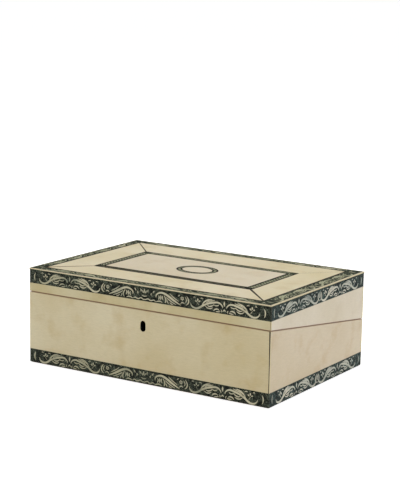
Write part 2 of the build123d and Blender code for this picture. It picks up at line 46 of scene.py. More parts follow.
seamHeight = (seam["backY"] * math.sin(tilt) + seam["backZ"] * math.cos(tilt)) * mm
print("frame loaded", len(nodes))


def edgesOf(nodeName):  # left, right, front, back, low and high side of a node, in mm
    low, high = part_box(nodeName)
    return [value / mm for value in (low[0], high[0], low[1], high[1], low[2], high[2])]


# the veneered box in mm; sink is the depth of the level that the strokes' heights count from
box = {"halfWide": 203, "halfDeep": 136, "tall": 142, "sink": 0.15}
faceX, faceY, faceZ = (box[size] - box["sink"] for size in ("halfWide", "halfDeep", "tall"))
ring = edgesOf("top_inner_band")
panel = edgesOf("top_panel")
oval = edgesOf("top_oval")
bandWide = {  # how far each flat band runs inwards from the outer edge
    "front": edgesOf("top_band_front")[3] + box["halfDeep"],
    "back": box["halfDeep"] - edgesOf("top_band_back")[2],
    "left": edgesOf("top_band_left")[1] + box["halfWide"],
    "right": box["halfWide"] - edgesOf("top_band_right")[0],
}
lidBand = edgesOf("lid_band_front")
footBand = edgesOf("foot_band_front")
lockCase = edgesOf("lock_case")


def hexLinear(code):
    channels = [int(code[i : i + 2], 16) / 255 for i in (1, 3, 5)]
    return [c / 12.92 if c <= 0.04045 else ((c + 0.055) / 1.055) ** 2.4 for c in channels] + [1.0]


def addNode(tree, kind, **values):  # settings by attribute name, inputs by socket name with spaces as __
    node = tree.nodes.new(kind)
    for key, value in values.items():
        name = key.replace("__", " ")
        if hasattr(node, key):
            setattr(node, key, value)
        else:
            node.inputs[name].default_value = value
    return node


def startMaterial(name, **values):
    material = bpy.data.materials.new(name)
    material.use_nodes = True
    tree = material.node_tree
    shader = tree.nodes["Principled BSDF"]
    for key, value in values.items():
        shader.inputs[key.replace("__", " ")].default_value = value
    place = addNode(tree, "ShaderNodeTexCoord")
    return material, tree, shader, place


def wear(nodeName, material):
    o = nodes[nodeName]
    o.data.materials.clear()
    o.data.materials.append(material)


seamShade = {"near": 0.5, "far": 1.7, "most": 0.75, "colour": "#8a5c36"}  # painted shade: brown line beside the seam, in mm


# ivory: warm cream with soft yellow and brown clouds, faint grain, a low polish and a painted shade line
# along the seam
def ivoryMaterial(name, pale, deep, stain, stainAmount, seed, grain=(9, 9, 60)):
    material, tree, shader, place = startMaterial(
        name, Roughness=0.42, Specular__IOR__Level=0.42, Subsurface__Weight=0.06, Subsurface__Scale=0.002
    )
    shader.inputs["Subsurface Radius"].default_value = (1.0, 0.6, 0.3)
    link = tree.links.new
    shift = addNode(tree, "ShaderNodeMapping")
    shift.inputs["Location"].default_value = (seed * 0.37, seed * 0.21, seed * 0.11)
    link(place.outputs["Object"], shift.inputs["Vector"])
    # clouds about 110 mm across, stains about 40 mm
    cloud = addNode(tree, "ShaderNodeTexNoise", Scale=9.0, Detail=3.0, Roughness=0.5)
    blotch = addNode(tree, "ShaderNodeTexNoise", Scale=26.0, Detail=4.0, Roughness=0.55)
    stretch = addNode(tree, "ShaderNodeMapping")
    stretch.inputs["Scale"].default_value = grain
    # streaks about 7 mm by 1 mm with the usual grain
    fibre = addNode(tree, "ShaderNodeTexNoise", Scale=16.0, Detail=6.0, Roughness=0.7)
    for texture in (cloud, blotch):
        link(shift.outputs["Vector"], texture.inputs["Vector"])
    link(shift.outputs["Vector"], stretch.inputs["Vector"])
    link(stretch.outputs["Vector"], fibre.inputs["Vector"])
    base = addNode(tree, "ShaderNodeMix", data_type="RGBA")
    base.inputs["A"].default_value = hexLinear(pale)
    base.inputs["B"].default_value = hexLinear(deep)
    cloudRange = addNode(tree, "ShaderNodeMapRange")
    cloudRange.inputs["From Min"].default_value = 0.35
    cloudRange.inputs["From Max"].default_value = 0.68
    link(cloud.outputs["Fac"], cloudRange.inputs["Value"])
    link(cloudRange.outputs["Result"], base.inputs["Factor"])
    stainRange = addNode(tree, "ShaderNodeMapRange")
    stainRange.inputs["From Min"].default_value = 0.52
    stainRange.inputs["From Max"].default_value = 0.8
    stainRange.inputs["To Max"].default_value = stainAmount
    link(blotch.outputs["Fac"], stainRange.inputs["Value"])
    stained = addNode(tree, "ShaderNodeMix", data_type="RGBA")
    stained.inputs["B"].default_value = hexLinear(stain)
    link(base.outputs["Result"], stained.inputs["A"])
    link(stainRange.outputs["Result"], stained.inputs["Factor"])
    # painted shade: the colour turns brown within 1.7 mm of the seam plane, for the shade in the gap between
    # lid and base
    height = addNode(tree, "ShaderNodeVectorMath", operation="DOT_PRODUCT")  # height over the seam plane
    height.inputs[1].default_value = (0, math.sin(tilt), math.cos(tilt))
    link(place.outputs["Object"], height.inputs[0])
    near = addNode(tree, "ShaderNodeMath", operation="SUBTRACT")
    near.inputs[1].default_value = seamHeight
    link(height.outputs["Value"], near.inputs[0])
    gap = addNode(tree, "ShaderNodeMath", operation="ABSOLUTE")
    link(near.outputs["Value"], gap.inputs[0])
    seamShadeRange = addNode(tree, "ShaderNodeMapRange")
    seamShadeRange.inputs["From Min"].default_value = seamShade["near"] * mm
    seamShadeRange.inputs["From Max"].default_value = seamShade["far"] * mm
    seamShadeRange.inputs["To Min"].default_value = seamShade["most"]
    seamShadeRange.inputs["To Max"].default_value = 0.0
    link(gap.outputs["Value"], seamShadeRange.inputs["Value"])
    seamShaded = addNode(tree, "ShaderNodeMix", data_type="RGBA")
    seamShaded.inputs["B"].default_value = hexLinear(seamShade["colour"])
    link(stained.outputs["Result"], seamShaded.inputs["A"])
    link(seamShadeRange.outputs["Result"], seamShaded.inputs["Factor"])
    fibreRange = addNode(tree, "ShaderNodeMapRange")
    fibreRange.inputs["From Min"].default_value = 0.35
    fibreRange.inputs["From Max"].default_value = 0.65
    fibreRange.inputs["To Min"].default_value = 0.93
    fibreRange.inputs["To Max"].default_value = 1.03
    link(fibre.outputs["Fac"], fibreRange.inputs["Value"])
    shade = addNode(tree, "ShaderNodeVectorMath", operation="SCALE")
    link(seamShaded.outputs["Result"], shade.inputs["Vector"])
    link(fibreRange.outputs["Result"], shade.inputs["Scale"])
    link(shade.outputs["Vector"], shader.inputs["Base Color"])
    bump = addNode(tree, "ShaderNodeBump", Strength=0.05, Distance=0.0003)
    link(fibre.outputs["Fac"], bump.inputs["Height"])
    link(bump.outputs["Normal"], shader.inputs["Normal"])
    return material


# lac ground of the bands: near black green, filled with the engraver's small grey strokes and worn in places
def lacMaterial(name, dark, light, fill):
    material, tree, shader, place = startMaterial(name, Roughness=0.55, Specular__IOR__Level=0.08)
    link = tree.links.new
    # strokes about 1 mm wide
    wander = addNode(tree, "ShaderNodeTexNoise", Scale=420.0, Detail=1.0, Distortion=1.6)
    worn = addNode(tree, "ShaderNodeTexNoise", Scale=150.0, Detail=3.0)  # wear about 7 mm across
    for texture in (wander, worn):
        link(place.outputs["Object"], texture.inputs["Vector"])
    away = addNode(tree, "ShaderNodeMath", operation="SUBTRACT")
    away.inputs[1].default_value = 0.5
    link(wander.outputs["Fac"], away.inputs[0])
    ridge = addNode(tree, "ShaderNodeMath", operation="ABSOLUTE")
    link(away.outputs["Value"], ridge.inputs[0])
    line = addNode(tree, "ShaderNodeMapRange")
    line.inputs["From Min"].default_value = 0.05
    line.inputs["From Max"].default_value = 0.015
    link(ridge.outputs["Value"], line.inputs["Value"])
    patch = addNode(tree, "ShaderNodeMapRange")
    patch.inputs["From Min"].default_value = 0.3
    patch.inputs["From Max"].default_value = 0.65
    patch.inputs["To Max"].default_value = fill
    link(worn.outputs["Fac"], patch.inputs["Value"])
    amount = addNode(tree, "ShaderNodeMath", operation="MULTIPLY")
    link(line.outputs["Result"], amount.inputs[0])
    link(patch.outputs["Result"], amount.inputs[1])
    mix = addNode(tree, "ShaderNodeMix", data_type="RGBA")
    mix.inputs["A"].default_value = hexLinear(dark)
    mix.inputs["B"].default_value = hexLinear(light)
    link(amount.outputs["Value"], mix.inputs["Factor"])
    link(mix.outputs["Result"], shader.inputs["Base Color"])
    return material


def colourOver(material, colour, mask):  # lays one more colour over a material where the mask is 1
    tree = material.node_tree
    shader = tree.nodes["Principled BSDF"]
    before = shader.inputs["Base Color"].links[0].from_socket
    mix = addNode(tree, "ShaderNodeMix", data_type="RGBA")
    mix.inputs["B"].default_value = hexLinear(colour)
    tree.links.new(before, mix.inputs["A"])
    tree.links.new(mask(tree), mix.inputs["Factor"])
    tree.links.new(mix.outputs["Result"], shader.inputs["Base Color"])
    return material


def within(tree, socket, centre, reach):  # 1 where the value is no further than reach from the centre
    test = addNode(tree, "ShaderNodeMath", operation="COMPARE")
    test.inputs[1].default_value = centre
    test.inputs[2].default_value = reach
    tree.links.new(socket, test.inputs[0])
    return test.outputs["Value"]


def allOf(tree, sockets):
    total = sockets[0]
    for socket in sockets[1:]:
        product = addNode(tree, "ShaderNodeMath", operation="MULTIPLY")
        tree.links.new(total, product.inputs[0])
        tree.links.new(socket, product.inputs[1])
        total = product.outputs["Value"]
    return total


bareEdge = {"height": 141.5, "reach": 1.0, "upright": 0.5}  # mm, and how far a face may lean


def edgeMask(tree):  # upper part of the upright edges of the flat bands, which shows bare ivory
    place = addNode(tree, "ShaderNodeTexCoord")
    spot = addNode(tree, "ShaderNodeSeparateXYZ")
    facing = addNode(tree, "ShaderNodeNewGeometry")
    turn = addNode(tree, "ShaderNodeSeparateXYZ")
    tree.links.new(place.outputs["Object"], spot.inputs["Vector"])
    tree.links.new(facing.outputs["Normal"], turn.inputs["Vector"])
    high = within(tree, spot.outputs["Z"], bareEdge["height"] * mm, bareEdge["reach"] * mm)
    return allOf(tree, [high, within(tree, turn.outputs["Z"], 0, bareEdge["upright"])])


keyhole = {"x": -2, "z": 83.6, "reachX": 5.5, "reachZ": 9.5, "outer": -135.7, "backWall": 0.6}  # mm


def keyholeShadeMask(tree):  # walls of the keyhole and the inside of the lock, painted dark as the shade inside the hole
    outer, inner = keyhole["outer"], lockCase[3] - keyhole["backWall"]
    place = addNode(tree, "ShaderNodeTexCoord")
    spot = addNode(tree, "ShaderNodeSeparateXYZ")
    tree.links.new(place.outputs["Object"], spot.inputs["Vector"])
    near = [
        within(tree, spot.outputs["X"], keyhole["x"] * mm, keyhole["reachX"] * mm),
        within(tree, spot.outputs["Z"], keyhole["z"] * mm, keyhole["reachZ"] * mm),
        within(tree, spot.outputs["Y"], (outer + inner) / 2 * mm, (inner - outer) / 2 * mm),
    ]
    return allOf(tree, near)


# wood: straight grain along one axis with darker pores
def woodMaterial(name, pale, dark, along, roughness=0.5):
    material, tree, shader, place = startMaterial(name, Roughness=roughness, Specular__IOR__Level=0.35)
    link = tree.links.new
    stretch = addNode(tree, "ShaderNodeMapping")
    stretch.inputs["Scale"].default_value = along
    link(place.outputs["Object"], stretch.inputs["Vector"])
    # largest streaks about 50 mm by 5 mm, finer ones inside them
    rings = addNode(tree, "ShaderNodeTexNoise", Scale=2.0, Detail=8.0, Roughness=0.62, Distortion=0.4)
    link(stretch.outputs["Vector"], rings.inputs["Vector"])
    spread = addNode(tree, "ShaderNodeMapRange")
    spread.inputs["From Min"].default_value = 0.32
    spread.inputs["From Max"].default_value = 0.68
    link(rings.outputs["Fac"], spread.inputs["Value"])
    mix = addNode(tree, "ShaderNodeMix", data_type="RGBA")
    mix.inputs["A"].default_value = hexLinear(dark)
    mix.inputs["B"].default_value = hexLinear(pale)
    link(spread.outputs["Result"], mix.inputs["Factor"])
    link(mix.outputs["Result"], shader.inputs["Base Color"])
    bump = addNode(tree, "ShaderNodeBump", Strength=0.12, Distance=0.0004)
    link(rings.outputs["Fac"], bump.inputs["Height"])
    link(bump.outputs["Normal"], shader.inputs["Normal"])
    return material


# brass and steel: cloudy tarnish over plain metal with a soft shine
def metalMaterial(name, bright, dull, roughness):
    material, tree, shader, place = startMaterial(name, Metallic=1.0, Roughness=roughness)
    link = tree.links.new
    tarnish = addNode(tree, "ShaderNodeTexNoise", Scale=120.0, Detail=5.0, Roughness=0.6)  # about 8 mm across
    link(place.outputs["Object"], tarnish.inputs["Vector"])
    mix = addNode(tree, "ShaderNodeMix", data_type="RGBA")
    mix.inputs["A"].default_value = hexLinear(bright)
    mix.inputs["B"].default_value = hexLinear(dull)
    link(tarnish.outputs["Fac"], mix.inputs["Factor"])
    link(mix.outputs["Result"], shader.inputs["Base Color"])
    return material


# velvet: dark green pile that lightens where it turns away, with soft worn patches
def velvetMaterial(name, deep, worn):
    material, tree, shader, place = startMaterial(
        name, Roughness=0.9, Specular__IOR__Level=0.1, Sheen__Weight=0.7
    )
    shader.inputs["Sheen Roughness"].default_value = 0.4
    shader.inputs["Sheen Tint"].default_value = hexLinear("#7fae8f")
    link = tree.links.new
    # tufts under 1 mm, coarser than real pile
    pile = addNode(tree, "ShaderNodeTexNoise", Scale=1400.0, Detail=2.0)
    patch = addNode(tree, "ShaderNodeTexNoise", Scale=14.0, Detail=4.0)  # worn patches about 70 mm across
    link(place.outputs["Object"], pile.inputs["Vector"])
    link(place.outputs["Object"], patch.inputs["Vector"])
    mix = addNode(tree, "ShaderNodeMix", data_type="RGBA")
    mix.inputs["A"].default_value = hexLinear(deep)
    mix.inputs["B"].default_value = hexLinear(worn)
    link(patch.outputs["Fac"], mix.inputs["Factor"])
    link(mix.outputs["Result"], shader.inputs["Base Color"])
    bump = addNode(tree, "ShaderNodeBump", Strength=0.5, Distance=0.0004)
    link(pile.outputs["Fac"], bump.inputs["Height"])
    link(bump.outputs["Normal"], shader.inputs["Normal"])
    return material


# glass of the ink bottles: clear and faintly green, with soft clouding
def glassMaterial(name):
    material, tree, shader, place = startMaterial(name, Roughness=0.03, IOR=1.5, Transmission__Weight=1.0)
    link = tree.links.new
    clouding = addNode(tree, "ShaderNodeTexNoise", Scale=60.0, Detail=4.0)  # about 17 mm across
    link(place.outputs["Object"], clouding.inputs["Vector"])
    mix = addNode(tree, "ShaderNodeMix", data_type="RGBA")
    mix.inputs["A"].default_value = hexLinear("#e9f2ee")
    mix.inputs["B"].default_value = hexLinear("#c4d6d2")
    link(clouding.outputs["Fac"], mix.inputs["Factor"])
    link(mix.outputs["Result"], shader.inputs["Base Color"])
    return material


topGrain, fineGrain = (9, 60, 9), (60, 60, 60)  # for the top plates, and for strokes and narrow strips
# painted shade: near black laid over the keyhole's walls and the lock behind it
keyholeShadeBlack = "#0c0806"
# painted light and shade: each face has its own copy of the ivory, lighter on the top and darker on the
# front, back and sides, for how the light falls
ivoryBackPaintedShade = ivoryMaterial("ivoryBackPaintedShade", "#cfc3a1", "#c4b48a", "#b3995f", 0.6, 1.0)
ivoryFrontPaintedShade = ivoryMaterial("ivoryFrontPaintedShade", "#cfc3a1", "#c4b48a", "#b3995f", 0.6, 1.0)
# painted shade: the keyhole in the front plaque, near black
colourOver(ivoryFrontPaintedShade, keyholeShadeBlack, keyholeShadeMask)
ivoryLidPaintedShade = ivoryMaterial("ivoryLidPaintedShade", "#c8bd97", "#bbab7a", "#a08850", 0.55, 2.3)
ivorySidePaintedShade = ivoryMaterial("ivorySidePaintedShade", "#cabba0", "#c0ae8d", "#b0905f", 0.65, 3.1)
ivoryLidSidePaintedShade = ivoryMaterial("ivoryLidSidePaintedShade", "#d3c8b4", "#c8bba1", "#b5a17e", 0.5, 6.6)
ivoryTopPaintedLight = ivoryMaterial("ivoryTopPaintedLight", "#efe2c1", "#e4d5ab", "#cdb47c", 0.5, 4.7, topGrain)
ivoryPanelPaintedLight = ivoryMaterial("ivoryPanelPaintedLight", "#eaddc2", "#e2d3b3", "#cdb68a", 0.4, 5.9, topGrain)
# painted light and shade: lac copies for front, sides and top, lighter on the top, for how the light falls
lacFrontPaintedShade = lacMaterial("lacFrontPaintedShade", "#0b0f0a", "#858e78", 0.85)
lacSidePaintedShade = lacMaterial("lacSidePaintedShade", "#0b1513", "#6f877f", 0.9)
lacBandPaintedLight = colourOver(lacMaterial("lacBandPaintedLight", "#161d14", "#98a184", 0.8), "#d6c8a4", edgeMask)
lacRing = lacMaterial("lacRing", "#151a12", "#7f8a68", 1.0)
arrisIvory = ivoryMaterial("arrisIvory", "#e6dabd", "#d6c7a0", "#a99670", 0.8, 3.7, fineGrain)
lacLine = lacMaterial("lacLine", "#1d140c", "#3a2a1a", 0.5)
brownLine = lacMaterial("brownLine", "#6a4626", "#866340", 0.5)
# painted light and shade: scrollwork copies for front, sides and top, lighter on the top, for how the light
# falls
scrollIvoryFrontPaintedShade = ivoryMaterial("scrollIvoryFrontPaintedShade", "#cfc6a6", "#a5a080", "#5d6650", 0.9, 7.3, fineGrain)
scrollIvorySidePaintedShade = ivoryMaterial("scrollIvorySidePaintedShade", "#c4bfaa", "#8f968a", "#4f5e58", 0.9, 8.1, fineGrain)
scrollIvoryTopPaintedLight = ivoryMaterial("scrollIvoryTopPaintedLight", "#cdc7a4", "#a9ab86", "#6b7459", 0.9, 9.4, fineGrain)
carcaseWood = woodMaterial("carcaseWood", "#9a6b3c", "#5d3719", (10, 110, 110))
carcaseWoodSide = woodMaterial("carcaseWoodSide", "#9a6b3c", "#5d3719", (110, 10, 110))
frontWoodKeyholeShade = woodMaterial("frontWoodKeyholeShade", "#9a6b3c", "#5d3719", (10, 110, 110))
# painted shade: the keyhole in the front board, near black
colourOver(frontWoodKeyholeShade, keyholeShadeBlack, keyholeShadeMask)
insideWood = woodMaterial("insideWood", "#a97844", "#704622", (8, 90, 90), 0.45)
brass = metalMaterial("brass", "#c9a659", "#8a6a34", 0.32)
# painted shade: the keyhole through the lock case, near black
caseBrassKeyholeShade = colourOver(metalMaterial("caseBrassKeyholeShade", "#c9a659", "#8a6a34", 0.32), keyholeShadeBlack, keyholeShadeMask)
steel = metalMaterial("steel", "#9b9a96", "#6b6a66", 0.35)
velvet = velvetMaterial("velvet", "#16382a", "#23503c")
glass = glassMaterial("glass")

looks = {
    "base_plaque_front": ivoryFrontPaintedShade, "base_plaque_back": ivoryBackPaintedShade,
    "base_plaque_left": ivorySidePaintedShade, "base_plaque_right": ivorySidePaintedShade,
    "lid_plaque_front": ivoryLidPaintedShade, "lid_plaque_back": ivoryLidPaintedShade,
    "lid_plaque_left": ivoryLidSidePaintedShade, "lid_plaque_right": ivoryLidSidePaintedShade,
    "top_panel": ivoryPanelPaintedLight, "top_inner_band": lacRing, "top_oval": lacRing,
    "lock_bolt": steel, "lock_case": caseBrassKeyholeShade, "link_plate": brass,
    "base_velvet": velvet, "lid_velvet": velvet,
    "partition": insideWood, "till_floor": insideWood, "pen_tray": insideWood,
    "divider_left": insideWood, "divider_right": insideWood, "base_flap": insideWood, "lid_flap": insideWood,
    "ink_bottle_left": glass, "ink_bottle_right": glass, "bottle_cap_left": brass, "bottle_cap_right": brass,
    "hinge_pins": brass, "base_hinge_leaves": brass, "lid_hinge_leaves": brass,
    "base_hinge_screws": brass, "lid_hinge_screws": brass, "base_flap_pins": brass, "lid_flap_pins": brass,
    "base_bottom": carcaseWood, "lid_top": carcaseWood,
}
for side in ("front", "back", "left", "right"):
    board = carcaseWood if side in ("front", "back") else carcaseWoodSide
    looks["base_" + side] = frontWoodKeyholeShade if side == "front" else board
    looks["lid_" + side] = board
    # painted shade: the front and side lac copies differ in lightness for how the light falls on them
    ground = lacFrontPaintedShade if side in ("front", "back") else lacSidePaintedShade
    looks["foot_band_" + side] = ground
    looks["lid_band_" + side] = ground
    looks["top_band_" + side] = lacBandPaintedLight
    looks["top_border_" + side] = ivoryTopPaintedLight
for nodeName, material in looks.items():
    wear(nodeName, material)
print("materials on", len(looks), "nodes")

# engraved scrollwork: pale strokes left standing in the lac, as tapered ribbons of knots (u, v, width) in mm
patternTall = 20  # height that the strokes are drawn for, in mm
scroll = [
    [(0.3, 8.6, 0.5), (1.6, 5.0, 1.5), (5.2, 2.5, 2.2), (9.9, 2.1, 2.5), (14.6, 4.1, 2.6), (19, 7.4, 2.7),
     (24, 10.0, 2.4)],
    [(22, 9.0, 2.0), (28.5, 12.0, 2.6), (34.3, 13.6, 2.6), (40.4, 14.8, 2.3), (45, 13.8, 1.9),
     (48.3, 10.6, 1.3), (48.8, 8.3, 0.6)],
    [(18, 8.4, 0.6), (20.6, 12.0, 1.7), (25.2, 15.6, 2.1), (30.6, 17.6, 1.0), (33, 17.4, 0.4)],
    [(24, 11.6, 0.6), (27.5, 14.6, 1.3), (33, 16.0, 1.3), (37, 17.2, 0.5)],
    [(25.5, 8.6, 0.5), (29, 7.6, 1.5), (32.5, 8.6, 1.6), (35.5, 10.6, 0.6)],
    [(22.5, 7.4, 0.5), (26, 5.0, 1.3), (30.5, 4.8, 1.5), (34, 6.6, 0.6)],
    [(34.5, 11.4, 0.4), (38, 10.0, 1.1), (41.5, 10.4, 1.1), (43, 12.0, 0.4)],
    [(35.2, 2.4, 0.5), (37.6, 4.8, 1.6), (41.2, 5.6, 1.5), (44.2, 4.0, 0.5)],
    [(38.6, 1.8, 0.5), (42, 2.0, 1.3), (45.6, 2.6, 0.5)],
    [(46.4, 5.6, 0.4), (47.6, 3.8, 1.1), (47.4, 2.0, 0.5)],
    [(7.2, 12.4, 0.5), (8.4, 12.2, 1.9), (9.8, 11.4, 0.6)],
    [(10.8, 16.2, 0.5), (11.2, 14.4, 2.1), (11.0, 12.4, 0.6)],
    [(15.0, 13.6, 0.5), (13.8, 12.6, 1.9), (12.4, 11.4, 0.6)],
    [(4.2, 16.6, 0.4), (5.6, 17.4, 1.1), (7.4, 16.8, 0.4)],
    [(11.2, 11.2, 0.4), (11.6, 9.0, 0.6), (13.6, 6.8, 0.4)],
    [(15.2, 17.0, 0.4), (17, 17.4, 1.1), (19.6, 16.4, 0.5)],
]
teardrop = [
    [(0, 17.6, 0.5), (0.2, 14.4, 2.4), (0, 10.6, 0.4)],
    [(-1.9, 3.4, 0.4), (0, 5.6, 1.6), (1.9, 3.4, 0.4)],
]
upright = [[(0.6, 4.0, 0.4), (-0.6, 8.0, 1.4), (-0.4, 12.4, 1.5), (1.4, 16.0, 0.4)]]
bracket = [
    [(2.6, 16.6, 0.4), (0.4, 13.6, 1.4), (-0.8, 9.8, 1.7), (0.6, 6.0, 1.4), (3.6, 3.8, 0.5)],
    [(5.2, 15.4, 0.4), (3.4, 12.6, 1.0), (3.0, 9.8, 1.1), (4.6, 7.6, 0.4)],
]
rosette = [
    [(2.9 * math.cos(a), 12.4 + 2.9 * math.sin(a), 0.5), (1.9 * math.cos(a), 12.4 + 1.9 * math.sin(a), 1.5),
     (0.9 * math.cos(a), 12.4 + 0.9 * math.sin(a), 0.5)]
    for a in (0.3, 1.35, 2.4, 3.45, 4.5, 5.55)
]
rosette += [
    [(-3.4, 5.4, 0.4), (-1.6, 6.8, 1.2), (0.8, 6.4, 1.2), (2.4, 4.6, 0.4)],
    [(3.6, 16.8, 0.4), (5.2, 16.2, 1.2), (6.6, 14.6, 0.4)],
]
greatLeaf = [
    [(0, 2.6, 0.5), (6, 5.2, 1.9), (13.2, 8.6, 2.9), (19.3, 12.0, 3.1), (25.4, 14.8, 2.9), (31.4, 16.0, 2.5),
     (37.5, 14.4, 2.0), (40.9, 11.2, 1.5), (40.8, 8.0, 0.6)],
    [(7.5, 2.4, 0.5), (14, 4.8, 1.2), (20.5, 8.2, 1.4), (24, 10.6, 0.5)],
    [(3.5, 7.4, 0.4), (9, 10.4, 1.2), (14.5, 13.6, 1.2), (18.5, 16.8, 0.5)],
    [(27.6, 12.6, 0.6), (25.4, 9.2, 1.5), (24.4, 5.4, 1.7), (26.0, 2.2, 0.6)],
    [(29.4, 12.2, 0.4), (30.6, 9.4, 1.6), (29.2, 5.8, 0.5)],
    [(33.2, 12.4, 0.4), (33.0, 9.2, 1.9), (33.2, 5.6, 0.5)],
    [(36.8, 11.6, 0.4), (35.6, 8.6, 1.6), (37.2, 5.4, 0.5)],
    [(30, 1.8, 0.4), (34, 3.6, 1.3), (38.6, 2.8, 1.2), (41, 1.6, 0.4)],
    [(12.5, 1.6, 0.4), (15.4, 2.2, 1.2), (18.4, 4.0, 0.5)],
    [(20, 2.0, 0.4), (21.6, 4.0, 1.3), (22, 6.4, 0.5)],
    [(43.6, 17.2, 0.4), (45.0, 15.6, 1.5), (46.2, 13.4, 0.5)],
    [(48.4, 13.4, 0.4), (49.4, 11.6, 1.4), (48.8, 9.6, 0.5)],
    [(53.6, 17.4, 0.4), (54.8, 15.4, 1.5), (54.2, 13.2, 0.5)],
    [(41.6, 1.8, 0.5), (44.6, 3.8, 1.2), (49.7, 2.2, 1.3), (54.4, 4.2, 1.3), (58.8, 2.4, 1.2),
     (60.4, 3.0, 0.8)],
]
palmette = [
    [(0, 17.8, 0.5), (0, 15.2, 1.9), (0, 12.2, 0.5)],
    [(-3.4, 15.4, 0.5), (-2.4, 13.4, 1.5), (-0.8, 11.6, 0.5)],
    [(3.4, 15.4, 0.5), (2.4, 13.4, 1.5), (0.8, 11.6, 0.5)],
    [(-4.6, 8.2, 0.4), (0, 7.2, 1.2), (4.6, 8.2, 0.4)],
]


def shifted(strokes, du, flip=False, stretch=1.0):
    way = -stretch if flip else stretch
    return [[(du + way * u, v, w) for u, v, w in stroke] for stroke in strokes]


longParts = [  # pattern, start along the band in mm, mirrored, stretch
    (upright, 9.5, False, 1.0), (scroll, 17.2, False, 1.06), (teardrop, 72.6, False, 1.0),
    (scroll, 127, True, 1.06), (bracket, 130.6, False, 1.0), (rosette, 140.4, False, 1.0),
    (greatLeaf, 142.6, False, 1.0),
]
shortParts = [
    (upright, 9, False, 1.0), (scroll, 18.6, False, 1.08), (teardrop, 75.5, False, 1.0),
    (scroll, 132.4, True, 1.08), (bracket, 131.6, False, 1.0),
]
longHalf = [stroke for part in longParts for stroke in shifted(*part)]
longBand = longHalf + shifted(longHalf, 2 * box["halfWide"], flip=True) + shifted(palmette, box["halfWide"])
shortHalf = [stroke for part in shortParts for stroke in shifted(*part)]
shortBand = shortHalf + shifted(shortHalf, 2 * box["halfDeep"], flip=True)


def smooth(knots, steps=4):  # points of a Catmull-Rom curve through the knots
    points = []
    for i in range(len(knots) - 1):
        a, b = knots[max(i - 1, 0)], knots[i]
        c, d = knots[i + 1], knots[min(i + 2, len(knots) - 1)]
        for step in range(steps):
            t = step / steps
            points.append([
                0.5 * (2 * b[k] + (c[k] - a[k]) * t + (2 * a[k] - 5 * b[k] + 4 * c[k] - d[k]) * t * t
                       + (3 * b[k] - a[k] - 3 * c[k] + d[k]) * t ** 3)
                for k in range(3)
            ])
    return points + [list(knots[-1])]


def addRibbon(mesh, knots, place, low, high, fat):  # one tapered stroke, with its side walls
    points = smooth(knots)
    rows = []
    for i, (u, v, w) in enumerate(points):
        before, after = points[max(i - 1, 0)], points[min(i + 1, len(points) - 1)]
        du, dv = after[0] - before[0], after[1] - before[1]
        size = math.hypot(du, dv) or 1.0
        nu, nv = -dv / size * w * fat / 2, du / size * w * fat / 2
        rows.append([
            mesh.verts.new(place(u + nu, v + nv, low)), mesh.verts.new(place(u + nu, v + nv, high)),
            mesh.verts.new(place(u - nu, v - nv, high)), mesh.verts.new(place(u - nu, v - nv, low)),
        ])
    for a, b in zip(rows, rows[1:]):
        for k in range(4):
            mesh.faces.new((a[k], a[(k + 1) % 4], b[(k + 1) % 4], b[k]))
    mesh.faces.new(rows[0])
    mesh.faces.new(rows[-1][::-1])


def ornament(name, strokes, place, material, body, low=-0.05, high=0.13, fat=1.0, slot="ivory"):
    mesh = bmesh.new()
    for stroke in strokes:
        addRibbon(mesh, stroke, place, low, high, fat)
    bmesh.ops.recalc_face_normals(mesh, faces=mesh.faces)
    data = bpy.data.meshes.new(name)
    mesh.to_mesh(data)
    mesh.free()
    data.materials.append(material)
    o = bpy.data.objects.new(name, data)
    bpy.context.scene.collection.objects.link(o)
    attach(o, body)


# upright bands: u runs left to right seen from outside, v upwards, h outwards
upright4 = {
    "front": lambda u, v, h: Vector((-box["halfWide"] + u, -faceY - h, v)) * mm,
    "right": lambda u, v, h: Vector((faceX + h, -box["halfDeep"] + u, v)) * mm,
    "back": lambda u, v, h: Vector((box["halfWide"] - u, faceY + h, v)) * mm,
    "left": lambda u, v, h: Vector((-faceX - h, box["halfDeep"] - u, v)) * mm,
}
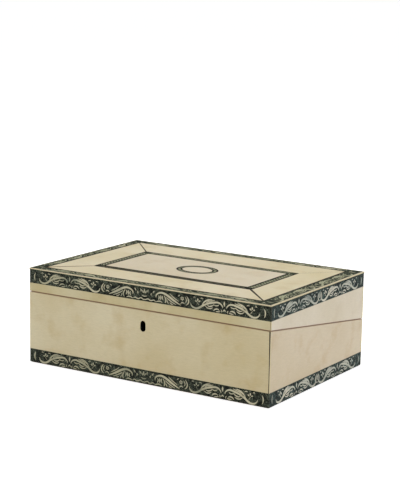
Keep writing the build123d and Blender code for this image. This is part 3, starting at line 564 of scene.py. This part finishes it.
# flat bands on the top: v runs inwards from the outer edge, h upwards
flat4 = {
    "front": lambda u, v, h: Vector((-box["halfWide"] + u, -box["halfDeep"] + v, faceZ + h)) * mm,
    "right": lambda u, v, h: Vector((box["halfWide"] - v, -box["halfDeep"] + u, faceZ + h)) * mm,
    "back": lambda u, v, h: Vector((box["halfWide"] - u, box["halfDeep"] - v, faceZ + h)) * mm,
    "left": lambda u, v, h: Vector((-box["halfWide"] + v, box["halfDeep"] - u, faceZ + h)) * mm,
}
rows = {
    "foot": {"body": "base", "low": footBand[4], "tall": footBand[5] - footBand[4]},
    "lid": {"body": "lid", "low": lidBand[4], "tall": lidBand[5] - lidBand[4]},
}
uprightFacts = {"longFat": 1.05, "shortFat": 1.2}  # how much wider the strokes are than drawn
flatFacts = {"endGap": 8, "edgeGap": 2.0, "spare": 3.4, "fat": 1.3}  # flat bands: plain margins in mm
for side in ("front", "right", "back", "left"):
    longSide = side in ("front", "back")
    pattern = longBand if longSide else shortBand
    for row, facts in rows.items():
        put = lambda u, v, h, side=side, facts=facts: upright4[side](
            u, facts["low"] + v * facts["tall"] / patternTall, h)
        # painted shade: front and side scrollwork copies differ in lightness for how the light falls
        shadedTone = scrollIvoryFrontPaintedShade if longSide else scrollIvorySidePaintedShade
        fat = uprightFacts["longFat" if longSide else "shortFat"]
        ornament(row + "_scroll_" + side, pattern, put, shadedTone, facts["body"], fat=fat)
    span = 2 * (box["halfWide"] if longSide else box["halfDeep"])
    inset = (span - 2 * flatFacts["endGap"]) / span
    rise = (bandWide[side] - flatFacts["spare"]) / patternTall
    put = lambda u, v, h, side=side, inset=inset, rise=rise: flat4[side](
        flatFacts["endGap"] + u * inset, flatFacts["edgeGap"] + v * rise, h)
    ornament("top_scroll_" + side, pattern, put, scrollIvoryTopPaintedLight, "lid", fat=flatFacts["fat"])

# narrow inner band: slanted leaves between two dark lines
innerFacts = {"pitch": 7, "first": 10, "ends": 18}  # mm; ends is what both ends leave free
innerShape = {"front": {"fat": 0.28, "high": 0.19}}  # thinner and higher, over the broad lines there
ringWide, ringDeep = ring[1] - ring[0], ring[3] - ring[2]
inner4 = {
    "front": (ringWide, lambda u, v, h: Vector((ring[0] + u, ring[2] + v, faceZ + h)) * mm),
    "right": (ringDeep, lambda u, v, h: Vector((ring[1] - v, ring[2] + u, faceZ + h)) * mm),
    "back": (ringWide, lambda u, v, h: Vector((ring[1] - u, ring[3] - v, faceZ + h)) * mm),
    "left": (ringDeep, lambda u, v, h: Vector((ring[0] + v, ring[3] - u, faceZ + h)) * mm),
}
for side, (run, put) in inner4.items():
    leaves = []
    for i in range(int((run - innerFacts["ends"]) / innerFacts["pitch"])):
        u = innerFacts["first"] + i * innerFacts["pitch"]
        leaves.append([(u, 2.0, 0.4), (u + 2.4, 4.4, 2.0), (u + 5.2, 8.6, 0.6)])
        leaves.append([(u + 4.2, 2.0, 0.3), (u + 5.4, 3.4, 1.1), (u + 6.4, 5.2, 0.3)])
        leaves.append([(u - 0.4, 8.8, 0.3), (u + 0.8, 7.6, 1.0), (u + 1.4, 6.0, 0.3)])
    shape = innerShape.get(side, {})
    ornament("inner_scroll_" + side, leaves, put, scrollIvoryTopPaintedLight, "lid", **shape)

# oval ring: small leaves leaning round it, between two dark outlines
ovalFacts = {"ring": 8.8, "leaves": 40, "outline": 1.7, "radius": 25, "steps": 36, "fat": 0.85}
onceRound = ovalFacts["radius"] * 2 * math.pi  # u grows by this over one turn of the oval
ovalX, ovalY = (oval[0] + oval[1]) / 2, (oval[2] + oval[3]) / 2
ovalA, ovalB = (oval[1] - oval[0]) / 2 - ovalFacts["ring"], (oval[3] - oval[2]) / 2 - ovalFacts["ring"]
ovalPut = lambda u, v, h: Vector((
    ovalX + (ovalA + v) * math.cos(u / ovalFacts["radius"]),
    ovalY + (ovalB + v) * math.sin(u / ovalFacts["radius"]), faceZ + h)) * mm
leaves = []
for i in range(ovalFacts["leaves"]):
    u = i * onceRound / ovalFacts["leaves"]
    leaves.append([(u, 2.4, 0.4), (u + 1.2, 4.2, 1.9), (u + 2.9, 6.6, 0.5)])
ornament("oval_scroll", leaves, ovalPut, scrollIvoryTopPaintedLight, "lid", fat=ovalFacts["fat"])
outlines = []
for v in (ovalFacts["outline"] / 2, ovalFacts["ring"] - ovalFacts["outline"] / 2):
    turns = [onceRound * i / ovalFacts["steps"] for i in range(ovalFacts["steps"] + 1)]
    outlines.append([(u, v, ovalFacts["outline"]) for u in turns])
ornament("oval_outline", outlines, ovalPut, lacLine, "lid", high=0.06, slot="lac")

# lac lines: inner edge of the flat band, both edges of the inner band and the mitres of the border
lineWide = {  # mm; the front, right, back and left line of a frame, or both ends of a mitre
    "band": (1.5, 1.5, 1.3, 1.5), "ringOuter": (6.4, 1.4, 1.2, 1.4), "ringInner": (3.6, 1.2, 1.0, 1.2),
    "frontRight": (2.2, 3.4), "backLeft": (1.4, 2.0), "backRight": (0.4, 0.4), "frontLeft": (3.2, 2.4),
    "arris": (1.0, 1.9, 1.0, 1.3),
}
topPut = lambda u, v, h: Vector((u, v, box["tall"] + h)) * mm
bandLeft, bandRight = bandWide["left"] - box["halfWide"], box["halfWide"] - bandWide["right"]
bandFront, bandBack = bandWide["front"] - box["halfDeep"], box["halfDeep"] - bandWide["back"]
lineSpots = {  # left, right, front and back of each frame of lines, in mm
    "band": (bandLeft + 0.4, bandRight - 0.4, bandFront - 0.4, bandBack + 0.4),
    "ringOuter": (ring[0] - 0.2, ring[1] + 0.2, ring[2] + 2.2, ring[3] + 0.2),
    "ringInner": (panel[0], panel[1], panel[2] - 1.4, panel[3] + 0.1),
    "arris": (-202.6, 202.3, -135.8, 135.8),
}


def frameLines(left, right, front, back, widths):  # lines round a rectangle: front, right, back, left
    corners = [(left, front), (right, front), (right, back), (left, back)]
    lines = []
    for i, width in enumerate(widths):
        lines.append([(*corners[i], width), (*corners[(i + 1) % 4], width)])
    return lines


def mitreLine(start, end, widths):
    return [[(*start, widths[0]), (*end, widths[1])]]


edges = []
for lines in ("band", "ringOuter", "ringInner"):
    edges += frameLines(*lineSpots[lines], lineWide[lines])
edges += mitreLine((bandRight, bandFront), (ring[1], ring[2]), lineWide["frontRight"])
edges += mitreLine((bandLeft, bandBack), (ring[0], ring[3]), lineWide["backLeft"])
edges += mitreLine((bandRight, bandBack), (ring[1], ring[3]), lineWide["backRight"])
ornament("lac_lines", edges, topPut, lacLine, "lid", low=-0.1, high=0.02, slot="lac")
mitre = mitreLine((bandLeft, bandFront), (ring[0], ring[2]), lineWide["frontLeft"])
ornament("mitre_line", mitre, topPut, brownLine, "lid", low=-0.1, high=0.02, slot="lac")
arris = frameLines(*lineSpots["arris"], lineWide["arris"])
ornament("arris_line", arris, topPut, arrisIvory, "lid", low=-0.2, high=0.0)

# dark joint between the front and right plates, up the front right corner: knots (x, height, width) in mm
cornerJoint = {
    "base": [(202.2, 21.3, 1.1), (202.2, 60, 1.2), (202.0, 106, 2.0)],
    "lid": [(202.6, 108, 0.5), (202.6, lidBand[4], 0.6)],
}
frontPut = lambda u, v, h: Vector((u, -box["halfDeep"] - h, v)) * mm
ornament("joint_line", [cornerJoint["base"]], frontPut, lacLine, "base", high=0.03, slot="lac")
ornament("joint_line_lid", [cornerJoint["lid"]], frontPut, brownLine, "lid", high=0.03, slot="lac")
print("scrollwork done")

# velvet on the writing flaps: one glued panel each, with a soft nap and edges pressed down
velvetFacts = {"thick": 0.6, "nap": 0.12, "napSize": 20, "rim": 1.0, "cellsX": 88}  # mm, except the cells
velvetShares = {"rim": 0.2, "pile": 0.36, "wall": 0.75}  # shares of the thickness


def velvetSheet(nodeName, way):
    left, right, front, back, low, high = edgesOf(nodeName)
    wide = right - left
    long = ((back - front) - velvetFacts["thick"] * math.sin(tilt)) / math.cos(tilt)
    middle = Vector(((left + right) / 2, (front + back) / 2, (low + high) / 2)) * mm
    cellsY = round(velvetFacts["cellsX"] * long / wide)
    bpy.ops.object.select_all(action="DESELECT")
    bpy.ops.mesh.primitive_grid_add(x_subdivisions=velvetFacts["cellsX"], y_subdivisions=cellsY, size=1)
    sheet = bpy.context.object
    sheet.name = nodeName + "_panel"
    sheet.scale = (wide * mm, long * mm, 1)
    bpy.ops.object.transform_apply(location=False, rotation=False, scale=True)
    for vertex in sheet.data.vertices:  # the rim is pressed into its sinking
        rim = min(wide * mm / 2 - abs(vertex.co.x), long * mm / 2 - abs(vertex.co.y))
        share = velvetShares["rim" if rim < velvetFacts["rim"] * mm else "pile"]
        vertex.co.z = velvetFacts["thick"] * mm * share
    nap = bpy.data.textures.new(nodeName + "Nap", "CLOUDS")
    nap.noise_scale = velvetFacts["napSize"] * mm
    bulge = sheet.modifiers.new("nap", "DISPLACE")
    bulge.texture = nap
    bulge.texture_coords = "LOCAL"
    bulge.strength = velvetFacts["nap"] * mm
    bulge.mid_level = 0.5
    bpy.ops.object.modifier_apply(modifier="nap")
    wall = sheet.modifiers.new("wall", "SOLIDIFY")
    wall.thickness = velvetFacts["thick"] * mm * velvetShares["wall"]
    wall.offset = -1
    bpy.ops.object.modifier_apply(modifier="wall")
    sheet.rotation_euler = (-tilt if way > 0 else math.pi - tilt, 0, 0)
    sheet.location = middle
    bpy.ops.object.transform_apply(location=True, rotation=True, scale=False)
    sheet.data.materials.append(velvet)
    bpy.ops.object.shade_smooth()
    return sheet, (wide * mm, long * mm)


for nodeName, carrier, body, way in (
    ("base_velvet", "base_flap", "base_writing_flap", 1), ("lid_velvet", "lid_flap", "lid_writing_flap", -1)
):
    sheet, flat = velvetSheet(nodeName, way)
    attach(sheet, body)
    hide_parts(nodeName)
print("velvet laid")

# camera, light and the pale sweep
cameraFacts = {  # lens and sensor in mm, place in m and turn in degrees
    "lens": 111.6, "sensor": 36, "spot": (1.17771, -1.85059, 0.60103), "turn": (79.0018, -0.9646, 32.5766)
}
cameraData = bpy.data.cameras.new("camera")
cameraData.lens = cameraFacts["lens"]
cameraData.sensor_width = cameraFacts["sensor"]
camera = bpy.data.objects.new("camera", cameraData)
bpy.context.scene.collection.objects.link(camera)
camera.location = cameraFacts["spot"]
camera.rotation_euler = Euler([math.radians(turn) for turn in cameraFacts["turn"]], "XYZ")
bpy.context.scene.camera = camera


lights = {  # energy in W, size, place and aim in m
    "keyLight": {
        "energy": 2.2, "size": 1.4, "spot": (-0.5, -1.5, 1.5), "aim": (0, 0, 0.07),
        "colour": (1.0, 0.985, 0.96),
    },
    "sideLight": {
        "energy": 2.7, "size": 1.2, "spot": (1.8, -0.2, 0.9), "aim": (0, 0, 0.07),
        "colour": (1.0, 0.985, 0.97),
    },
    "topLight": {
        "energy": 27.0, "size": 1.8, "spot": (0.0, 0.4, 1.9), "aim": (0, 0, 0.1),
        "colour": (1.0, 1.0, 1.0),
    },
}


def areaLight(name, energy, size, spot, aim, colour):
    data = bpy.data.lights.new(name, "AREA")
    data.energy = energy
    data.size = size
    data.color = colour
    o = bpy.data.objects.new(name, data)
    bpy.context.scene.collection.objects.link(o)
    o.location = spot
    o.rotation_euler = (Vector(aim) - Vector(spot)).to_track_quat("-Z", "Y").to_euler()


for name, facts in lights.items():
    areaLight(name, **facts)

floorFacts = {"size": 30, "drop": 0.2, "colour": (0.85, 0.85, 0.85, 1), "glow": 0.8}  # size in m, drop in mm
bpy.ops.mesh.primitive_plane_add(size=floorFacts["size"], location=(0, 0, -floorFacts["drop"] * mm))
floor = bpy.context.object
floor.name = "floor"
floorMaterial, tree, shader, place = startMaterial("floorPaper", Roughness=0.9, Specular__IOR__Level=0.0)
shader.inputs["Base Color"].default_value = floorFacts["colour"]
shader.inputs["Emission Color"].default_value = (1, 1, 1, 1)
shader.inputs["Emission Strength"].default_value = floorFacts["glow"]
floor.data.materials.append(floorMaterial)

skyFacts = {"colour": (0.95, 0.97, 1.0, 1), "strength": 0.25}  # lights the box; the camera sees plain white
world = bpy.data.worlds.new("studio")
world.use_nodes = True
bpy.context.scene.world = world
tree = world.node_tree
sky = tree.nodes["Background"]
sky.inputs["Color"].default_value = skyFacts["colour"]
sky.inputs["Strength"].default_value = skyFacts["strength"]
white = addNode(tree, "ShaderNodeBackground", Strength=1.0)
white.inputs["Color"].default_value = (1, 1, 1, 1)
rays = addNode(tree, "ShaderNodeLightPath")
pick = addNode(tree, "ShaderNodeMixShader")
tree.links.new(rays.outputs["Is Camera Ray"], pick.inputs["Fac"])
tree.links.new(sky.outputs["Background"], pick.inputs[1])
tree.links.new(white.outputs["Background"], pick.inputs[2])
tree.links.new(pick.outputs["Shader"], tree.nodes["World Output"].inputs["Surface"])
bpy.context.scene.view_settings.view_transform = "Standard"
print("stage ready")
